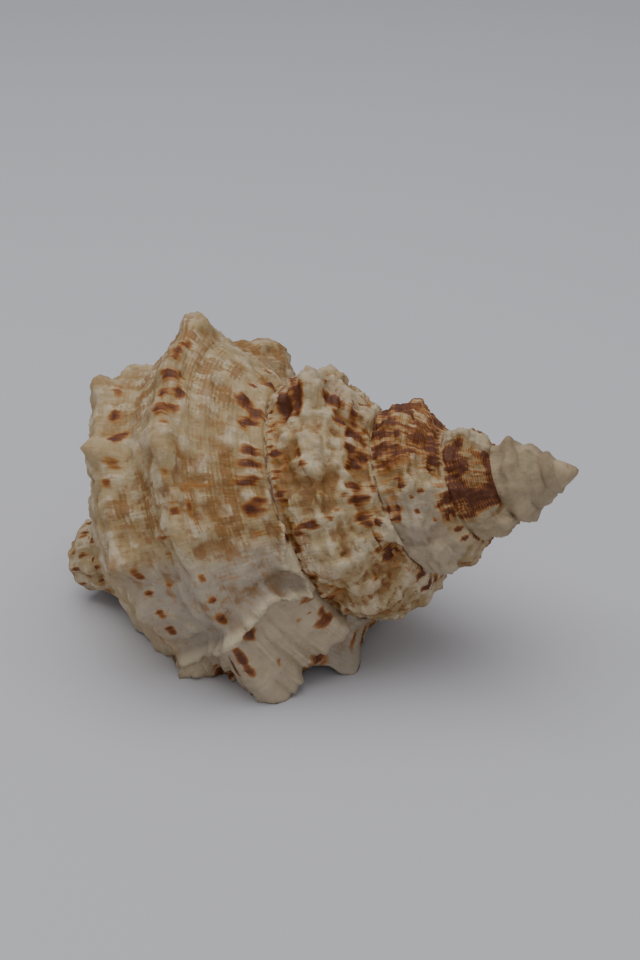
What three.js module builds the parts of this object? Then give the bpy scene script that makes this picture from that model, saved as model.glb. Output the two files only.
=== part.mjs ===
// A large marine snail shell lying on its mouth, in millimetres, +Z up, apex towards +X.
//
// The whole shell follows one rule. A profile, the outline of a whorl cut through the coiling axis,
// turns about that axis and grows by the same factor every turn. A place on the shell is a turn
// (0 at the mouth, negative towards the apex) and a row (0 at the upper suture, 4 at the shoulder,
// 6 where the next whorl covers it, 13 at the end of the siphonal canal).
import * as THREE from 'three';

// Driving dimensions
const growthPerTurn = 1.505;      // size of a whorl over the one before it
const mouthSuture = 96.2;         // from the apex to the last suture, along the axis
const apexHeight = 63;            // of the apex over the surface that the shell rests on
const axisTilt = 18.23;           // degrees that the axis rises towards the apex
const lipAngle = 207;             // degrees round the axis of the mouth, from the near side upwards
const turns = 7;                  // whorls from the apex to the mouth
const apexRounding = 1.2;         // worn off the tip
const canalEnd = 163.5;           // from the apex to the end of the canal, along the axis
const canalDrop = 2.5;            // of the end of the canal under the axis
const wall = 4.2;                 // thickness of the last whorl's wall
const hollowTurns = 3;            // how far back the hollow is open
const undersideLift = [5, 9];     // least and most height of the underside over the surface
const undersideWall = 3;          // its thickness
const sectionMiddle = [1.31, 0.395]; // of a whorl's section, as shares of the suture's distance
const wear = 0.5;                 // ground off where the shell rests
const lipBack = 9;                // degrees that the middle of the lip stays behind its two ends
const stoutness = 0.34;           // share by which the first whorls are wider than the rule
const apexPlace = [79.48, -6.9];  // x and y of the apex, so that the origin is under the middle

// Fineness
const stepsPerTurn = 60;
const upperRows = [0, 0.6, 1.2, 1.9, 2.6, 3.2, 3.8, 4.4, 5, 6];
const bodyRows = [0, 0.5, 1, 1.5, 2, 2.6, 3.2, 3.7, 4.2, 4.8, 5.4, 6, 6.5, 7, 7.5, 8.2, 9, 10, 11, 12, 13];
const apicalRows = [0, 2, 4, 6];
const apicalTurn = -3;            // above this turn the rows are fewer
const hollowSteps = 14;           // loops round the hollow in a turn

// The profile as distance down the axis and from the axis, as shares of the suture's distance:
// of the whorls that the next one covers, and of the last whorl, whose second cord stands lower
const coveredProfile = [
  [1.000, 0.447], [1.065, 0.520], [1.135, 0.595], [1.200, 0.655], [1.265, 0.690],
  [1.370, 0.692], [1.505, 0.673], [1.600, 0.655], [1.650, 0.610],
];
const lastProfile = [
  [1.000, 0.447], [1.065, 0.515], [1.135, 0.585], [1.200, 0.645], [1.265, 0.680],
  [1.360, 0.650], [1.460, 0.602], [1.580, 0.595], [1.650, 0.560],
];
// The base under the second cord and the neck, in millimetres, at four turns of the last whorl
const baseTurns = [-1, -0.667, -0.35, 0];
const baseProfile = [
  [[106, 35], [122, 40], [135, 42], [149, 52]],
  [[114, 22], [134, 30], [142, 31], [154, 36]],
  [[128, 13], [146, 17], [149, 16], [157, 20]],
  [[147, 8], [152, 12], [153, 12.5], [160, 13]],
  [[161.5, 5], [162.5, 9.6], [163, 9.6], [163, 9.6]],
];
const neckStart = 125;            // the whorl narrows to the neck beyond this distance
const neckReach = 27;

// Old lips: one flares out every two thirds of a turn, the first a little under a turn back
const lipSpacing = 40 / stepsPerTurn;
const lastOldLip = -41 / stepsPerTurn;
const oldLips = 9;
const lipFlare = 4;               // of the present lip, which is plainer

// Knobs and hollows: turn, row, height, half width in turns, half width in rows
const knobs = [
  [-0.155, 3.4, 11.5, 0.025, 1.6], [-0.280, 3.9, 7.0, 0.022, 0.65], [-0.280, 5.1, 2.0, 0.016, 0.6],
  [-0.360, 4.2, 2.5, 0.014, 0.6], [-0.436, 4.3, 4.5, 0.028, 0.9], [-0.747, 2.2, 12.0, 0.028, 0.9],
  [-0.515, 4.3, 2.5, 0.020, 0.8], [-0.585, 4.2, 2.0, 0.020, 0.8], [-0.337, 7.2, 5.5, 0.017, 0.65],
  [-0.423, 7.0, 6.0, 0.015, 0.65], [-0.535, 7.0, 7.5, 0.016, 0.70], [-0.590, 7.0, 3.0, 0.014, 0.6],
  [-0.250, 7.0, 1.5, 0.018, 0.6], [-0.170, 7.0, 3.0, 0.018, 0.6], [-0.090, 7.0, 4.0, 0.018, 0.6],
  [-1.584, 4.0, 3.5, 0.018, 0.80], [-2.255, 2.9, 5.0, 0.020, 0.70], [-3.665, 1.5, 18.0, 0.045, 1.4],
  [-1.712, 1.9, -2.0, 0.040, 1.1], [-1.760, 2.5, -3.0, 0.045, 1.5], [-3.285, 1.0, 7.0, 0.025, 0.7],
];
const legKnob = knobs[5];         // the one that reaches the surface beside the mouth

const radians = THREE.MathUtils.degToRad;
const clamp = THREE.MathUtils.clamp;
const mix = THREE.MathUtils.lerp;
const size = (turn) => growthPerTurn ** turn;

function ease(share) {
  const x = clamp(share, 0, 1);
  return x * x * (3 - 2 * x);
}

function hump(distance, halfWidth) {
  return Math.exp(-((distance / halfWidth) ** 2));
}

// Holds a value above zero with a rounded corner of the given size
function floorAt(value, rounding) {
  return 0.5 * (value + Math.hypot(value, rounding));
}

function keyed(turn, values) {
  let span = 0;
  while (span < baseTurns.length - 2 && turn > baseTurns[span + 1]) span += 1;
  const share = (turn - baseTurns[span]) / (baseTurns[span + 1] - baseTurns[span]);
  return mix(values[span], values[span + 1], ease(share));
}

function profilePoints(turn) {
  const scale = size(turn) * mouthSuture;
  const last = ease((turn + 1) / 0.2);
  const points = coveredProfile.map(([down, out], i) => {
    let along = scale * mix(down, lastProfile[i][0], last);
    if (along > neckStart) along = neckStart + neckReach * Math.tanh((along - neckStart) / neckReach);
    return [along, scale * mix(out, lastProfile[i][1], last)];
  });
  const baseTurn = clamp(turn, -1, 0);
  const shrink = size(turn - baseTurn);
  for (const row of baseProfile) {
    points.push([0, 1].map((axis) => shrink * keyed(baseTurn, row.map((place) => place[axis]))));
  }
  return points;
}

// A smooth curve through the profile's points, at a row
function onProfile(points, row) {
  const last = points.length - 1;
  const span = clamp(Math.floor(row), 0, last - 1);
  const t = row - span;
  return [0, 1].map((axis) => {
    const at = (i) => {
      if (i < 0) return 2 * points[0][axis] - points[1][axis];
      if (i > last) return 2 * points[last][axis] - points[last - 1][axis];
      return points[i][axis];
    };
    const [a, b, c, d] = [at(span - 1), at(span), at(span + 1), at(span + 2)];
    return 0.5 * (2 * b + (c - a) * t + (2 * a - 5 * b + 4 * c - d) * t * t + (3 * b - a - 3 * c + d) * t ** 3);
  });
}

// How far a flared lip stands out: it rises sharply on its old side and slopes down on its new side
function flare(turn, row, lipTurn) {
  const ahead = turn - lipTurn;
  const rise = ease((ahead + 0.022) / 0.018);
  const slope = ahead < 0 ? 1 : 0.85 * clamp(1 - ahead / 0.075, 0, 1) ** 1.1 + 0.15;
  const foot = 1 - ease((ahead - 0.068) / 0.006);
  const lobes = 0.42 + 0.3 * hump(row - 0.7, 0.7) + 0.6 * hump(row - 4, 0.85)
    + 0.15 * hump(row - 5.6, 0.4) + 0.3 * hump(row - 7, 0.5) + 0.15 * hump(row - 8.6, 0.5);
  return rise * slope * foot * lobes * ease((row + 0.3) / 0.8) * (1 - ease((row - 10) / 1.5));
}

// Height of the relief over the plain whorl, before it is scaled to the whorl's size
function relief(turn, row) {
  let height = lipFlare * ease((turn + 0.06) / 0.06) * ease(row) * (1 - ease((row - 9) / 3));
  for (const [knobTurn, knobRow, rise, turnWidth, rowWidth] of knobs) {
    height += rise * hump(turn - knobTurn, turnWidth) * hump(row - knobRow, rowWidth);
  }
  for (let i = 0; i < oldLips; i += 1) {
    height += (i === 0 ? 12 : 8) * flare(turn, row, lastOldLip - i * lipSpacing);
  }
  if (turn < -1) {
    const wave = 0.5 + 0.5 * Math.cos(2 * Math.PI * (turn - lastOldLip) * 9);
    height += 2.2 * wave * hump(row - 3.9, 0.9);
  }
  const angular = 1.6 * hump(row - 4.15, 0.4) - 0.9 * hump(row - 3, 0.8) - 0.9 * hump(row - 5.4, 0.7)
    + 1.4 * hump(row - 7, 0.35);
  height += angular * ease((turn + 1) / 0.2);
  return height * (turn < -1 ? 1 - ease((row - 5.3) / 0.7) : 1);
}

// A point of the shell: raised over the profile, then set in towards the middle of the whorl's
// section, and no lower than the floor
function pointAt(turn, row, rise, inset, floor) {
  const points = profilePoints(turn);
  const here = onProfile(points, row);
  const next = onProfile(points, row + 0.001);
  const step = Math.hypot(next[0] - here[0], next[1] - here[1]) || 1;
  let down = here[0] - ((next[1] - here[1]) / step) * rise;
  let out = here[1] + ((next[0] - here[0]) / step) * rise;
  const middle = sectionMiddle.map((share) => share * size(turn) * mouthSuture);
  const reach = Math.hypot(middle[0] - down, middle[1] - out);
  const share = Math.min(inset / reach, 0.8);
  down = mix(down, middle[0], share);
  out = mix(out, middle[1], share);
  const held = ease((row - 0.5) / 2.5) * (1 - ease((row - 9) / 3));
  const angle = radians(lipAngle - lipBack * held * ease((turn + 0.15) / 0.15)) + 2 * Math.PI * turn;
  const tilt = radians(axisTilt);
  out *= 1 + stoutness * ease((-3.5 - turn - row / 6) / 0.7);
  const up = out * Math.sin(angle);
  const point = new THREE.Vector3(
    apexPlace[0] - down * Math.cos(tilt) - up * Math.sin(tilt),
    apexPlace[1] - out * Math.cos(angle),
    apexHeight - down * Math.sin(tilt) + up * Math.cos(tilt),
  );
  if (turn > -1.05) point.z -= canalDrop * ease((row - 9) / 4);
  if (turn > -1.05) point.z = floor + floorAt(point.z - floor, 1.2);
  return point;
}

// The underside between the last old lip and the mouth stands clear of the surface, most beside
// the last old lip, and the leg knob reaches down from it
function underside(turn, row) {
  const beside = hump(turn - lastOldLip + 0.042, 0.03) * (1 - ease((row - 3) / 1.5));
  const leg = hump(turn - legKnob[0], legKnob[3]) * hump(row - legKnob[1], legKnob[4]);
  const lift = mix(undersideLift[0], undersideLift[1], beside);
  return lift * ease((lastOldLip - 0.022 - turn) / 0.02) * Math.max(0, 1 - 1.15 * leg);
}

function outerPoint(turn, row) {
  return pointAt(turn, row, relief(turn, row) * size(turn), 0, turn > -1 ? underside(turn, row) : 0);
}

const positions = [];
const triangles = [];

function addPoint(point) {
  positions.push(point.x, point.y, Math.max(point.z - wear, 0));
  return positions.length / 3 - 1;
}

function addTriangle(a, b, c) {
  if (a !== b && b !== c && c !== a) triangles.push(a, c, b);
}

// Joins two columns of points whose rows need not agree
function zip(left, right) {
  let i = 0;
  let j = 0;
  while (i < left.length - 1 || j < right.length - 1) {
    const nextLeft = i < left.length - 1 ? left[i + 1].row : Infinity;
    const nextRight = j < right.length - 1 ? right[j + 1].row : Infinity;
    if (nextLeft < nextRight || (nextLeft === nextRight && i <= j)) {
      addTriangle(left[i].index, left[i + 1].index, right[j].index);
      i += 1;
    } else {
      addTriangle(left[i].index, right[j + 1].index, right[j].index);
      j += 1;
    }
  }
}

function rowsOf(turn) {
  if (turn >= -1) return bodyRows;
  return turn >= apicalTurn ? upperRows : apicalRows;
}

// The outside: every whorl's lowest row is the next whorl's suture, so the whorls share it
function outerColumns() {
  const columns = [];
  for (let step = 0; step <= turns * stepsPerTurn; step += 1) {
    const turn = step / stepsPerTurn - turns;
    const above = columns[step - stepsPerTurn];
    columns.push(rowsOf(turn).map((row) => {
      if (row === 0 && above) return { row, index: above.find((place) => place.row === 6).index };
      if (row === 6 && turn <= -1) return { row, index: addPoint(outerPoint(turn + 1, 0)) };
      return { row, index: addPoint(outerPoint(turn, row)) };
    }));
  }
  return columns;
}

function skin(columns) {
  for (let step = 0; step < columns.length - 1; step += 1) {
    const covered = step < (turns - 1) * stepsPerTurn;
    const next = covered ? columns[step + 1].filter((place) => place.row <= 6) : columns[step + 1];
    zip(columns[step], next);
  }
}

function closeApex(columns) {
  const tip = addPoint(new THREE.Vector3(
    apexPlace[0] - apexRounding * Math.cos(radians(axisTilt)), apexPlace[1],
    apexHeight - apexRounding * Math.sin(radians(axisTilt)),
  ));
  for (let step = 0; step < stepsPerTurn; step += 1) {
    addTriangle(tip, columns[step][0].index, columns[step + 1][0].index);
  }
  const first = columns[0];
  for (let i = 0; i < first.length - 1; i += 1) {
    addTriangle(tip, first[i + 1].index, first[i].index);
  }
}

function closeCanal(columns) {
  const tilt = radians(axisTilt);
  const middle = addPoint(new THREE.Vector3(
    apexPlace[0] - canalEnd * Math.cos(tilt), apexPlace[1], apexHeight - canalEnd * Math.sin(tilt) - canalDrop,
  ));
  const rim = columns.slice((turns - 1) * stepsPerTurn).map((column) => column.at(-1).index);
  rim.forEach((index, i) => addTriangle(index, middle, rim[(i + 1) % rim.length]));
}

// One loop round the hollow: down the inside of the lip and back up the whorl inside it
function hollowLoop(turn, deep) {
  const thick = wall * size(turn * 0.8) * deep;
  const outer = bodyRows.map((row) => {
    const inside = mix(row, mix(0.9, 10, row / 13), deep);
    return addPoint(pointAt(turn, inside, 0, thick, underside(turn, inside) + undersideWall * deep));
  });
  const inner = bodyRows.filter((row) => row > 6).reverse().map((row) => {
    const inside = mix(row, mix(6.5, 10, (row - 6) / 7), deep);
    return addPoint(pointAt(turn - 1, inside, 0.8 * deep, 0, 0));
  });
  return [...outer, ...inner];
}

// The rounded edge of the lip, between the outside and the hollow
function lipLoop(edge, forward, depth) {
  return edge.map((index, i) => {
    if (i >= bodyRows.length || i === 0) return index;
    const row = bodyRows[i];
    const taper = ease(row / 1.5) * (1 - ease((row - 10) / 3));
    return addPoint(pointAt(forward * taper, row, relief(0, row), depth * taper, 0));
  });
}

function joinLoops(near, far) {
  near.forEach((index, i) => {
    const j = (i + 1) % near.length;
    addTriangle(index, near[j], far[j]);
    addTriangle(index, far[j], far[i]);
  });
}

function hollow(columns) {
  const lip = columns.at(-1).map((place) => place.index);
  const start = columns[(turns - 1) * stepsPerTurn].filter((place) => place.row > 6);
  const edge = [...lip, ...start.reverse().map((place) => place.index)];
  const loops = [edge, lipLoop(edge, 0.006, 1.5), lipLoop(edge, 0.004, 3.5)];
  for (let step = 0; step <= hollowTurns * hollowSteps; step += 1) {
    const turn = -step / hollowSteps - 0.02;
    loops.push(hollowLoop(turn, ease((step + 1) / 3)));
  }
  for (let i = 0; i < loops.length - 1; i += 1) joinLoops(loops[i], loops[i + 1]);
  const end = loops.at(-1);
  const middle = new THREE.Vector3();
  end.forEach((index) => middle.add(new THREE.Vector3().fromArray(positions, index * 3)));
  const centre = addPoint(middle.divideScalar(end.length));
  end.forEach((index, i) => addTriangle(index, end[(i + 1) % end.length], centre));
}

function makeShell() {
  const columns = outerColumns();
  skin(columns);
  closeApex(columns);
  closeCanal(columns);
  hollow(columns);
  const geometry = new THREE.BufferGeometry();
  geometry.setAttribute('position', new THREE.Float32BufferAttribute(positions, 3));
  geometry.setIndex(triangles);
  geometry.computeVertexNormals();
  const material = new THREE.MeshStandardMaterial({ color: 0xd9c9ab, roughness: 0.6, metalness: 0 });
  const mesh = new THREE.Mesh(geometry, material);
  mesh.name = 'shell';
  return mesh;
}

const part = new THREE.Group();
part.add(makeShell());
export default part;
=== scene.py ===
"""A large marine snail shell that lies on its mouth on a pale studio sweep."""
import math

import bpy
import numpy as np
from mathutils import Matrix, Vector


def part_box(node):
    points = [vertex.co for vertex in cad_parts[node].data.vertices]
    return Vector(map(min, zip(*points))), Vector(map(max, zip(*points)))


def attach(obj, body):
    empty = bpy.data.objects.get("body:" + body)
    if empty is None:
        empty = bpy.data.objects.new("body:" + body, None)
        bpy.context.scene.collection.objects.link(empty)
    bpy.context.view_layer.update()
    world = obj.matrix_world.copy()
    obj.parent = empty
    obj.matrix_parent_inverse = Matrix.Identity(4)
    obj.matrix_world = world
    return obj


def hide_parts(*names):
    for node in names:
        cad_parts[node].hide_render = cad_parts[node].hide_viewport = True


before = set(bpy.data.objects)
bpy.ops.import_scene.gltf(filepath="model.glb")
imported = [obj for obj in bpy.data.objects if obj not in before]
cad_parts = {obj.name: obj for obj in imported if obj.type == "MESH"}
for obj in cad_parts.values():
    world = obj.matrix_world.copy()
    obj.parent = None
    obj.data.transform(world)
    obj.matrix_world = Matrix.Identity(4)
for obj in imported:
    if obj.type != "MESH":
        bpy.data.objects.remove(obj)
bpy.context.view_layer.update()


# Camera
# It stands in front of the shell, a little to the apex side, and looks down on it by 25 degrees.
camera_place = Vector((0.18408, -0.5466, 0.3138))
camera_round = math.radians(18.60)
camera_down = math.radians(25.0)

back = Vector((
    math.sin(camera_round) * math.cos(camera_down),
    -math.cos(camera_round) * math.cos(camera_down),
    math.sin(camera_down),
))
right = Vector((math.cos(camera_round), math.sin(camera_round), 0))
camera_turn = Matrix((right, back.cross(right), back)).transposed().to_4x4()
camera_data = bpy.data.cameras.new("camera")
camera_data.lens = 81.1
camera_data.sensor_width = 36
camera_data.clip_start = 0.01
camera = bpy.data.objects.new("camera", camera_data)
scene = bpy.context.scene
camera.matrix_world = Matrix.Translation(camera_place) @ camera_turn
scene.collection.objects.link(camera)
bpy.context.scene.camera = camera


# Shell
# One calcareous shell, grown as a tube that coils round its axis and widens at the same rate all
# the way. It is thick and chalky, with spiral cords, and ribs where the lip stood before.
growth_per_turn = 1.505
mouth_suture = 96.2
apex_height = 63
axis_tilt = math.radians(18.23)
lip_angle = math.radians(207)
turns = 7
apex_rounding = 1.2
canal_end = 163.5
canal_drop = 2.5
wall = 4.2
hollow_turns = 3
least_lift, most_lift = 5, 9
underside_wall = 3
section_middle = np.array([1.31, 0.395])
wear = 0.5
lip_back = math.radians(9)
apex_place = (79.48, -6.9)
suture_radius = 0.447
straight_slope = 0.4475
cover_row = 6
canal_row = 13
crimps_per_turn = 93
old_lip_reach = 0.068

columns_per_turn = 274
cords_per_row = 6
brown_cords_per_row = 3
bands_per_row = 1.25
rows_per_unit = [12, 12, 8, 5, 3, 2, 2]
base_row = 8
rows_per_base_unit = 8
hollow_steps = 20
full_depth_step = hollow_steps * 3 / 14

covered_outline = np.array([
    [1.000, 0.447], [1.065, 0.520], [1.135, 0.595], [1.200, 0.655], [1.265, 0.690],
    [1.370, 0.692], [1.505, 0.673], [1.600, 0.655], [1.650, 0.610],
])
last_outline = np.array([
    [1.000, 0.447], [1.065, 0.515], [1.135, 0.585], [1.200, 0.645], [1.265, 0.680],
    [1.360, 0.650], [1.460, 0.602], [1.580, 0.595], [1.650, 0.560],
])
base_turns = np.array([-1, -0.667, -0.35, 0])
base_outline = np.array([
    [[106, 35], [122, 40], [135, 42], [149, 52]],
    [[114, 22], [134, 30], [142, 31], [154, 36]],
    [[128, 13], [146, 17], [149, 16], [157, 20]],
    [[147, 8], [152, 12], [153, 12.5], [160, 13]],
    [[161.5, 5], [162.5, 9.6], [163, 9.6], [163, 9.6]],
], float)
neck_start = 125
neck_reach = 27

lip_spacing = 2 / 3
last_old_lip = -41 / 60
old_lips = 9
lip_flare = 4

# Forms on the shell: turn, row, half width in turns, half width in rows, height. Here and in the
# list of spots the turn and the half width in turns are in thousandths.
knobs = [
    (-155, 3.4, 25, 1.6, 11.5), (-280, 3.9, 22, 0.65, 7), (-280, 5.1, 16, 0.6, 2),
    (-360, 4.2, 14, 0.6, 2.5), (-436, 4.3, 28, 0.9, 4.5), (-747, 2.2, 28, 0.9, 12),
    (-515, 4.3, 20, 0.8, 2.5), (-585, 4.2, 20, 0.8, 2), (-337, 7.2, 17, 0.65, 5.5),
    (-423, 7, 15, 0.65, 6), (-535, 7, 16, 0.7, 7.5), (-590, 7, 14, 0.6, 3), (-250, 7, 18, 0.6, 1.5),
    (-170, 7, 18, 0.6, 3), (-90, 7, 18, 0.6, 4), (-1584, 4, 18, 0.8, 3.5), (-2255, 2.9, 20, 0.7, 5),
    (-3665, 1.5, 45, 1.4, 18), (-1712, 1.9, 40, 1.1, -2), (-1760, 2.5, 45, 1.5, -3),
    (-3285, 1, 25, 0.7, 7),
]
leg_knob = knobs[5]
# The smaller forms on and beside them
small_forms = [
    (-1420, 4.6, 12, 0.45, 2), (-1420, 3.2, 12, 0.45, 2), (-1420, 1.9, 10, 0.4, 1.2),
    (-1497, 4.9, 13, 0.45, 2), (-1497, 3.6, 13, 0.45, 2.2), (-1497, 2.2, 10, 0.4, 1.2),
    (-1458, 4.2, 12, 0.8, -1.2), (-1540, 4.2, 12, 0.8, -1.2), (-1385, 4.2, 12, 0.9, -1.5),
    (-1404, 3.9, 4, 0.18, -1.8), (-1475, 4.25, 4, 0.18, -1.5), (-1573, 3.3, 4.5, 0.18, -2),
    (-1322, 4, 10, 0.6, 2.5), (-1345, 2.6, 6, 1.2, 1.5), (-1300, 2.8, 6, 1.2, 1.2),
    (-1640, 3.4, 14, 0.6, 2), (-409, 4.2, 8, 0.4, 1.2), (-330, 4.2, 10, 0.5, 1.6),
    (-310, 4.5, 6, 0.4, 1.2), (-583, 1.05, 16, 0.55, -1.3), (-2590, 0.5, 14, 0.45, -2.5),
    (-2570, 0.1, 16, 0.2, 2), (-2180, 3, 12, 0.5, 1.5), (-2330, 3.4, 12, 0.5, 2),
    (-2400, 3.8, 12, 0.6, 2), (-2480, 4, 12, 0.6, 2), (-3450, 3.6, 15, 0.5, 1.5),
    (-3350, 3.6, 15, 0.5, 1.5), (-1335, 1.05, 12, 0.3, -2), (-1335, 1.75, 12, 0.26, 2.6),
    (-1335, 2.5, 12, 0.3, 3), (-1332, 2.1, 10, 0.16, -2), (-1332, 3.3, 10, 0.25, -1.5),
    (-1330, 4.2, 12, 0.3, 2), (-4330, 2.8, 50, 1.8, 10), (-60, 1.6, 40, 1.2, 3),
    (-178, 3.4, 20, 0.9, 4.5), (-115, 1.2, 20, 0.8, 2),
]


def size(turn):
    return growth_per_turn ** turn


def ease(share):
    x = np.clip(share, 0, 1)
    return x * x * (3 - 2 * x)


def hump(distance, half_width):
    return np.exp(-((distance / half_width) ** 2))


def ripple(cycles):
    """A wave from -1 to 1 that repeats at every whole number."""
    return np.cos(2 * np.pi * cycles)


def around_middle(turn, row, middle_turn, middle_row, turn_width, row_width):
    """1 in the middle of a listed form, fading to all sides of it."""
    return hump(1000 * turn - middle_turn, turn_width) * hump(row - middle_row, row_width)


def mix(low, high, share):
    return low + (high - low) * share


def floor_at(value, rounding):
    """Holds a value above zero, with a rounded corner."""
    return 0.5 * (value + np.hypot(value, rounding))


def outline_points(turn):
    """The points of the whorl's outline, down the axis and out from it, at each turn."""
    last = ease((turn + 1) / 0.2)[:, None, None]
    first = 0.35 * ease((-3.9 - turn) / 0.3)[:, None, None]
    outline = mix(covered_outline, last_outline, last)
    cone = suture_radius + (outline[..., 0] - 1) * straight_slope
    straight = np.stack([outline[..., 0], cone], axis=-1)
    points = (size(turn) * mouth_suture)[:, None, None] * mix(outline, straight, first)
    down = points[..., 0]
    neck = neck_start + neck_reach * np.tanh((down - neck_start) / neck_reach)
    points[..., 0] = np.where(down > neck_start, neck, down)
    base_turn = np.clip(turn, -1, 0)
    span = np.clip(np.searchsorted(base_turns, base_turn, side="left") - 1, 0, len(base_turns) - 2)
    share = ease((base_turn - base_turns[span]) / (base_turns[span + 1] - base_turns[span]))
    base = mix(base_outline[:, span], base_outline[:, span + 1], share[None, :, None])
    base = np.moveaxis(base, 0, 1) * size(turn - base_turn)[:, None, None]
    return np.concatenate([points, base], axis=1)


def on_outline(points, row):
    """A smooth curve through the outline's points, at a row."""
    before = 2 * points[:, :1] - points[:, 1:2]
    after = 2 * points[:, -1:] - points[:, -2:-1]
    padded = np.concatenate([before, points, after], axis=1)
    span = np.clip(np.floor(row).astype(int), 0, points.shape[1] - 2)
    each = np.arange(len(row))
    a, b, c, d = (padded[each, span + i] for i in range(4))
    t = (row - span)[:, None]
    return 0.5 * (2 * b + (c - a) * t + (2 * a - 5 * b + 4 * c - d) * t**2
                  + (3 * b - a - 3 * c + d) * t**3)


def flare(turn, row, lip_turn):
    """An old lip: it rises sharply on its old side and slopes down on its new side."""
    ahead = turn - lip_turn
    rise = ease((ahead + 0.022) / 0.018)
    slope = np.where(ahead < 0, 1, 0.85 * np.clip(1 - ahead / 0.075, 0, 1) ** 1.1 + 0.15)
    foot = 1 - ease((ahead - old_lip_reach) / 0.006)
    scallops = (0.09 * ripple(1.25 * row) + 0.05 * ripple(3.1 * row)) * ease(row - 1)
    lobes = (0.42 + scallops + 0.3 * hump(row - 0.7, 0.7) + 0.6 * hump(row - 4, 0.85)
             + 0.15 * hump(row - 5.6, 0.4) + 0.3 * hump(row - 7, 0.5) + 0.15 * hump(row - 8.6, 0.5))
    ends = ease((row + 0.3) / 0.8) * (1 - ease((row - 10) / 1.5))
    return rise * slope * foot * lobes * ends


# The crest line where the last old lip's inner face meets the whorl that grew on from it
crest_rows = [0.44, 0.9, 1.1, 1.36, 1.6, 2.24, 2.8, 3.4, 4.0, 4.8, 5.6, 6.4, 7.5, 13]
crest_turns = [-0.612, -0.608, -0.6055, -0.6, -0.597, -0.602, -0.608, -0.611, -0.614, -0.6257,
               -0.64, -0.648, -0.652, -0.655]
# The edges of the spouts that old lips leave at the suture, as turns and rows
last_spout = ([-0.616, -0.612, -0.604, -0.596, -0.587, -0.581, -0.572, -0.5616, -0.547, -0.533, -0.516],
              [0.5, 0.44, 0.26, 0.2, 0.3, 0.48, 0.66, 0.62, 0.42, 0.24, 0.0])
upper_spout = ([-1.607, -1.597, -1.583, -1.573, -1.56, -1.553, -1.543, -1.532],
               [0.0, 0.4, 0.78, 0.98, 0.93, 0.78, 0.5, 0.0])


def edge_of(spout, turn):
    """The row that a spout's edge reaches at each turn, or -1 beside the spout."""
    return np.interp(turn, *spout, left=-1, right=-1)


def spouts(turn, row):
    """The thin curled rims that two old lips leave beside the suture."""
    crest = np.interp(row, crest_rows, crest_turns)
    along_crest = ease((row - 0.25) / 0.3) * (1 - ease((row - 6.8) / 0.8))
    height = 4.2 * hump(turn - crest, 0.004) - 1.6 * hump(turn - crest - 0.013, 0.008)
    height *= along_crest
    for spout, step, rim in ((last_spout, 2.6, 2.6), (upper_spout, 4.5, 1.5)):
        edge = edge_of(spout, turn)
        height += step * ease((edge + 0.08 - row) / 0.16) * ease(edge / 0.1)
        height += rim * hump(row - edge, 0.1) * ease(edge / 0.2)
    frill = ease((row - 6.2) / 0.5) * (1 - ease((row - 7.7) / 0.3)) * (1 + 0.6 * ripple(2.5 * row))
    return height + 2.4 * frill * hump(turn + 0.664, 0.007)


def old_lip_height(turn, row):
    """The old lips, of which the last ends at its crest line and is pleated across its foot."""
    crest = np.interp(row, crest_rows, crest_turns)
    ahead = turn - last_old_lip
    narrowed = last_old_lip + np.where(ahead > 0, ahead * 0.07 / (crest - last_old_lip), ahead)
    height = 12 * flare(narrowed, row, last_old_lip)
    pleats = 0.5 * np.cos(2 * np.pi * 1.9 * row + 60 * turn) + 0.5 * ripple(5.3 * row)
    pleats *= ease((row - 2.5) / 1.5) * (1 - ease((row - 7.2) / 0.6))
    height += pleats * ease((ahead + 0.03) / 0.02) * (1 - ease((turn - crest) / 0.006))
    for i in range(1, old_lips):
        height += (8 if i < 5 else 4) * flare(turn, row, last_old_lip - i * lip_spacing)
    return height


def relief(turn, row):
    """Height over the plain whorl, before it is scaled to the whorl's size."""
    height = lip_flare * ease((turn + 0.06) / 0.06) * ease(row) * (1 - ease((row - 9) / 3))
    for *form, rise in knobs + small_forms:
        height += rise * around_middle(turn, row, *form)
    height += old_lip_height(turn, row)
    # The earlier whorls have a row of knobs on the shoulder, with smaller ones over and under it
    wave = 0.5 + 0.5 * ripple(9 * (turn - last_old_lip))
    height += np.where(turn < -1, 2.2 * wave * hump(row - 3.9, 0.9), 0)
    lobes = 1.3 * hump(row - 4.7, 0.4) + 1.5 * hump(row - 3.4, 0.45) + 0.8 * hump(row - 2.1, 0.35)
    height += np.where(turn < -1, (wave**2 - 0.3) * lobes, 0)
    # The shoulder and the second cord are angular, and the suture has a crimped rim
    last = ease((turn + 1) / 0.2)
    angular = 1.6 * hump(row - 4.15, 0.4) - 0.9 * hump(row - 3.0, 0.8)
    angular += 1.4 * hump(row - 7, 0.35) - 0.9 * hump(row - 5.4, 0.7)
    height += last * angular
    crimp = 1 + 0.35 * ripple(crimps_per_turn * turn)
    height += 0.9 * crimp * hump(row - 0.26, 0.16)
    height += spouts(turn, row)
    # The canal ends round and knobbly
    rings = np.cos(2 * np.pi * 1.3 * row + 2 * np.sin(2 * np.pi * turn)) + 0.5 * ripple(11 * turn)
    height += 0.9 * rings * ease((row - 9.5) / 1) * (turn > -1)
    height -= 2.2 * ease((row - 12.4) / 0.6) ** 2 * (turn > -1)
    return height * np.where(turn < -1, 1 - ease((row - 5.3) / 0.7), 1)


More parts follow.
